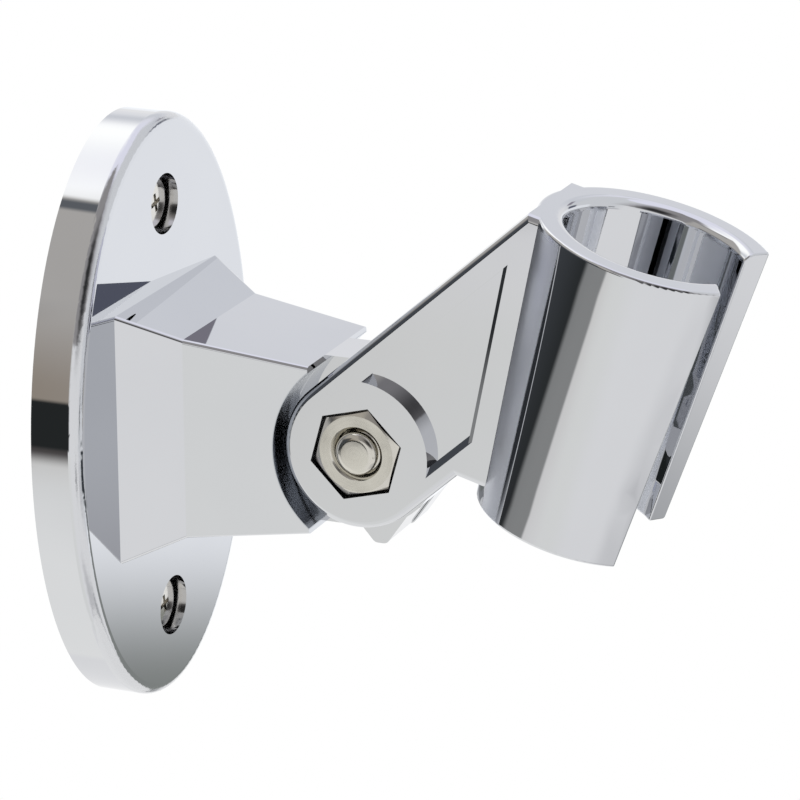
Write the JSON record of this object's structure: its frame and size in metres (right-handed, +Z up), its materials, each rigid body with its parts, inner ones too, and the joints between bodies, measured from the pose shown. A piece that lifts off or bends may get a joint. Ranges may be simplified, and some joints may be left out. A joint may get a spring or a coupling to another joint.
{
  "type": "hand shower holder",
  "caption": "Chromed wall holder for a hand shower: an oval screw-on plate with a tapered block, and a tilting fork arm that ends in a conical cup open at the front.",
  "frame": {"origin": "centre of the plate's back, in the plane of the wall", "axes": "+X out of the wall, +Z up along the plate's long axis, +Y along the pivot bolt towards its head"},
  "size_m": [0.0881, 0.0504, 0.076],
  "materials": {
    "chrome_plating": "mirror chrome plating on moulded plastic",
    "stainless_steel": "bright turned stainless steel",
    "nickel_steel": "nickel-plated steel",
    "washer_plastic": "thin low-friction plastic sheet"
  },
  "bodies": {
    "bracket": {"wall_bracket": "chrome_plating", "near_friction_washer": "washer_plastic", "far_friction_washer": "washer_plastic", "upper_wall_screw": "nickel_steel", "lower_wall_screw": "nickel_steel"},
    "arm": {"holder_arm": "chrome_plating", "pivot_bolt": "stainless_steel", "pivot_nut": "stainless_steel"}
  },
  "joints": [
    {"name": "tilt", "type": "hinge", "parent": "bracket", "child": "arm", "pos_m": [0.0355, 0, 0], "axis": [0, -1, 0], "range_deg": [-26, 16]}
  ]
}
